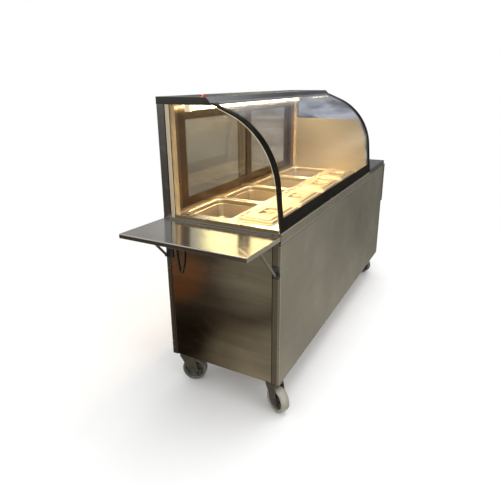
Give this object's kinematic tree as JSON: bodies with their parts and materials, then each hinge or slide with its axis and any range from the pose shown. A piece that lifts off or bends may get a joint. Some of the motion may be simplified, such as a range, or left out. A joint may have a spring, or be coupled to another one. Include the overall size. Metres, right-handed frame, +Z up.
{
  "type": "food service trolley",
  "caption": "Mobile heated serving trolley: gastronorm pans under a curved glass case with a lit canopy, on a stainless cabinet with swivel castors and fold-down end shelves.",
  "frame": {"origin": "on the floor, under the middle of the whole footprint", "axes": "+Z up, +X along the trolley from the raised shelf's end to the folded shelf's end, -Y the customer side with the curved glass, +Y the server side"},
  "size_m": [2.2625, 0.6955, 1.4548],
  "materials": {
    "frame_steel": "brushed stainless steel",
    "customer_steel": "brushed stainless steel, long horizontal grain",
    "end_steel": "brushed stainless steel",
    "counter_steel": "brushed stainless steel",
    "inner_steel": "brushed stainless steel",
    "worktop_dark": "dark laminate worktop, satin",
    "canopy_steel": "brushed stainless steel",
    "track_steel": "drawn stainless steel",
    "door_steel": "brushed stainless steel",
    "control_steel": "brushed stainless steel",
    "shelf_steel": "brushed stainless steel",
    "strut_steel": "bright stainless steel",
    "pan_steel": "pressed stainless steel, satin",
    "lid_steel": "pressed stainless steel, polished",
    "castor_zinc": "bright zinc plate",
    "wheel_rubber": "grey non-marking rubber tread on a grey centre",
    "clear_glass": "clear toughened glass, polished edges",
    "border_black": "black enamel border",
    "bracket_black": "black painted, satin",
    "cord_rubber": "dark flexible mains lead",
    "heater_metal": "heat-tinted metal sheath",
    "valve_brass": "cast and turned",
    "lever_plastic": "black dipped handle",
    "knob_plastic": "black moulded",
    "switch_red": "red moulded rocker",
    "lamp_warm": "frosted warm lamp tube"
  },
  "bodies": {
    "cabinet_body": {"body_frame": "frame_steel", "case_posts": "frame_steel", "customer_panel": "customer_steel", "near_end_panel": "end_steel", "far_end_panel": "end_steel", "counter_top": "counter_steel", "floor_panel": "inner_steel", "middle_shelf": "inner_steel", "water_well": "inner_steel", "splash_panel": "inner_steel", "lamp_reflector": "inner_steel", "side_worktop": "worktop_dark", "canopy": "canopy_steel", "case_door_tracks": "track_steel", "cabinet_door_tracks": "track_steel", "control_panel": "control_steel", "hinge_leaves": "strut_steel", "castor_plates": "castor_zinc", "castor_bolts": "castor_zinc", "curved_glass": "clear_glass", "end_glass": "clear_glass", "glass_border": "border_black", "strut_brackets": "bracket_black", "power_cord": "cord_rubber", "heating_elements": "heater_metal", "drain_valve": "valve_brass", "lamp_tube": "lamp_warm"},
    "near_shelf": {"near_shelf": "shelf_steel"},
    "near_struts": {"near_struts": "strut_steel"},
    "far_shelf": {"far_shelf": "shelf_steel"},
    "far_struts": {"far_struts": "strut_steel"},
    "left_glass_door": {"left_glass_door": "door_steel", "left_door_pane": "clear_glass"},
    "right_glass_door": {"right_glass_door": "door_steel", "right_door_pane": "clear_glass"},
    "left_cabinet_door": {"left_cabinet_door": "door_steel"},
    "right_cabinet_door": {"right_cabinet_door": "door_steel"},
    "thermostat_knob": {"thermostat_knob": "knob_plastic"},
    "lamp_switch": {"lamp_switch": "switch_red"},
    "drain_lever": {"drain_lever": "lever_plastic"},
    "near_customer_fork": {"near_customer_fork": "castor_zinc"},
    "near_customer_wheel": {"near_customer_wheel": "wheel_rubber"},
    "near_server_fork": {"near_server_fork": "castor_zinc"},
    "near_server_wheel": {"near_server_wheel": "wheel_rubber"},
    "far_customer_fork": {"far_customer_fork": "castor_zinc"},
    "far_customer_wheel": {"far_customer_wheel": "wheel_rubber"},
    "far_server_fork": {"far_server_fork": "castor_zinc"},
    "far_server_wheel": {"far_server_wheel": "wheel_rubber"},
    "rear_pan_1": {"rear_pan_1": "pan_steel"},
    "rear_pan_2": {"rear_pan_2": "pan_steel"},
    "rear_pan_3": {"rear_pan_3": "pan_steel"},
    "rear_pan_4": {"rear_pan_4": "pan_steel"},
    "front_pan_1": {"front_pan_1": "pan_steel"},
    "front_pan_2": {"front_pan_2": "pan_steel"},
    "front_pan_3": {"front_pan_3": "pan_steel"},
    "front_pan_4": {"front_pan_4": "pan_steel"},
    "front_lid_1": {"front_lid_1": "lid_steel"},
    "front_lid_2": {"front_lid_2": "lid_steel"},
    "front_lid_3": {"front_lid_3": "lid_steel"},
    "front_lid_4": {"front_lid_4": "lid_steel"}
  },
  "joints": [
    {"name": "near_shelf_fold", "type": "hinge", "parent": "cabinet_body", "child": "near_shelf", "pos_m": [-0.84859, 0, 0.876], "axis": [0, -1, 0], "range_deg": [0, 90]},
    {"name": "near_strut_fold", "type": "hinge", "parent": "cabinet_body", "child": "near_struts", "pos_m": [-0.85096, 0.287, 0.72199], "axis": [0, -1, 0], "range_deg": [0, 135]},
    {"name": "far_shelf_raise", "type": "hinge", "parent": "cabinet_body", "child": "far_shelf", "pos_m": [1.10541, 0, 0.886], "axis": [0, -1, 0], "range_deg": [0, 90]},
    {"name": "far_strut_raise", "type": "hinge", "parent": "cabinet_body", "child": "far_struts", "pos_m": [1.10241, 0.287, 0.732], "axis": [0, -1, 0], "range_deg": [0, 135]},
    {"name": "left_glass_door_slide", "type": "slide", "parent": "cabinet_body", "child": "left_glass_door", "axis": [1, 0, 0], "range_m": [0, 0.596]},
    {"name": "right_glass_door_slide", "type": "slide", "parent": "cabinet_body", "child": "right_glass_door", "axis": [1, 0, 0], "range_m": [-0.596, 0]},
    {"name": "left_cabinet_door_slide", "type": "slide", "parent": "cabinet_body", "child": "left_cabinet_door", "axis": [1, 0, 0], "range_m": [0, 0.7]},
    {"name": "right_cabinet_door_slide", "type": "slide", "parent": "cabinet_body", "child": "right_cabinet_door", "axis": [1, 0, 0], "range_m": [-0.7, 0]},
    {"name": "rear_pan_1_lift", "type": "slide", "parent": "cabinet_body", "child": "rear_pan_1", "axis": [0, 0, 1], "range_m": [0, 0.13]},
    {"name": "rear_pan_2_lift", "type": "slide", "parent": "cabinet_body", "child": "rear_pan_2", "axis": [0, 0, 1], "range_m": [0, 0.13]},
    {"name": "rear_pan_3_lift", "type": "slide", "parent": "cabinet_body", "child": "rear_pan_3", "axis": [0, 0, 1], "range_m": [0, 0.13]},
    {"name": "rear_pan_4_lift", "type": "slide", "parent": "cabinet_body", "child": "rear_pan_4", "axis": [0, 0, 1], "range_m": [0, 0.13]},
    {"name": "front_pan_1_lift", "type": "slide", "parent": "cabinet_body", "child": "front_pan_1", "axis": [0, 0, 1], "range_m": [0, 0.13]},
    {"name": "front_pan_2_lift", "type": "slide", "parent": "cabinet_body", "child": "front_pan_2", "axis": [0, 0, 1], "range_m": [0, 0.13]},
    {"name": "front_pan_3_lift", "type": "slide", "parent": "cabinet_body", "child": "front_pan_3", "axis": [0, 0, 1], "range_m": [0, 0.13]},
    {"name": "front_pan_4_lift", "type": "slide", "parent": "cabinet_body", "child": "front_pan_4", "axis": [0, 0, 1], "range_m": [0, 0.13]},
    {"name": "front_lid_1_lift", "type": "slide", "parent": "front_pan_1", "child": "front_lid_1", "axis": [0, 0, 1], "range_m": [0, 0.12]},
    {"name": "front_lid_2_lift", "type": "slide", "parent": "front_pan_2", "child": "front_lid_2", "axis": [0, 0, 1], "range_m": [0, 0.12]},
    {"name": "front_lid_3_lift", "type": "slide", "parent": "front_pan_3", "child": "front_lid_3", "axis": [0, 0, 1], "range_m": [0, 0.12]},
    {"name": "front_lid_4_lift", "type": "slide", "parent": "front_pan_4", "child": "front_lid_4", "axis": [0, 0, 1], "range_m": [0, 0.12]},
    {"name": "thermostat_turn", "type": "hinge", "parent": "cabinet_body", "child": "thermostat_knob", "pos_m": [0.79841, 0.297, 0.772], "axis": [0, 1, 0], "range_deg": [0, 270]},
    {"name": "lamp_switch_rock", "type": "hinge", "parent": "cabinet_body", "child": "lamp_switch", "pos_m": [-0.72159, 0.131, 1.444], "axis": [1, 0, 0], "range_deg": [-16, 0]},
    {"name": "drain_lever_turn", "type": "hinge", "parent": "cabinet_body", "child": "drain_lever", "pos_m": [0.46341, 0.227, 0.682], "axis": [0, 1, 0], "range_deg": [-90, 0]},
    {"name": "near_customer_swivel", "type": "hinge", "parent": "cabinet_body", "child": "near_customer_fork", "pos_m": [-0.77559, -0.244, 0.16], "axis": [0, 0, 1], "continuous": true},
    {"name": "near_customer_roll", "type": "hinge", "parent": "near_customer_fork", "child": "near_customer_wheel", "pos_m": [-0.79284, -0.27786, 0.0635], "axis": [-0.891, 0.454, 0], "continuous": true},
    {"name": "near_server_swivel", "type": "hinge", "parent": "cabinet_body", "child": "near_server_fork", "pos_m": [-0.77559, 0.256, 0.16], "axis": [0, 0, 1], "continuous": true},
    {"name": "near_server_roll", "type": "hinge", "parent": "near_server_fork", "child": "near_server_wheel", "pos_m": [-0.76259, 0.22029, 0.0635], "axis": [-0.9397, -0.342, 0], "continuous": true},
    {"name": "far_customer_swivel", "type": "hinge", "parent": "cabinet_body", "child": "far_customer_fork", "pos_m": [1.03241, -0.244, 0.16], "axis": [0, 0, 1], "continuous": true},
    {"name": "far_customer_roll", "type": "hinge", "parent": "far_customer_fork", "child": "far_customer_wheel", "pos_m": [1.03901, -0.20658, 0.0635], "axis": [0.9848, -0.1736, 0], "continuous": true},
    {"name": "far_server_swivel", "type": "hinge", "parent": "cabinet_body", "child": "far_server_fork", "pos_m": [1.03241, 0.256, 0.16], "axis": [0, 0, 1], "continuous": true},
    {"name": "far_server_roll", "type": "hinge", "parent": "far_server_fork", "child": "far_server_wheel", "pos_m": [1.01635, 0.29044, 0.0635], "axis": [0.9063, 0.4226, 0], "continuous": true}
  ],
  "couplings": [
    {"joint": "near_strut_fold", "follows": "near_shelf_fold", "ratio": 1.5},
    {"joint": "far_strut_raise", "follows": "far_shelf_raise", "ratio": 1.5}
  ]
}
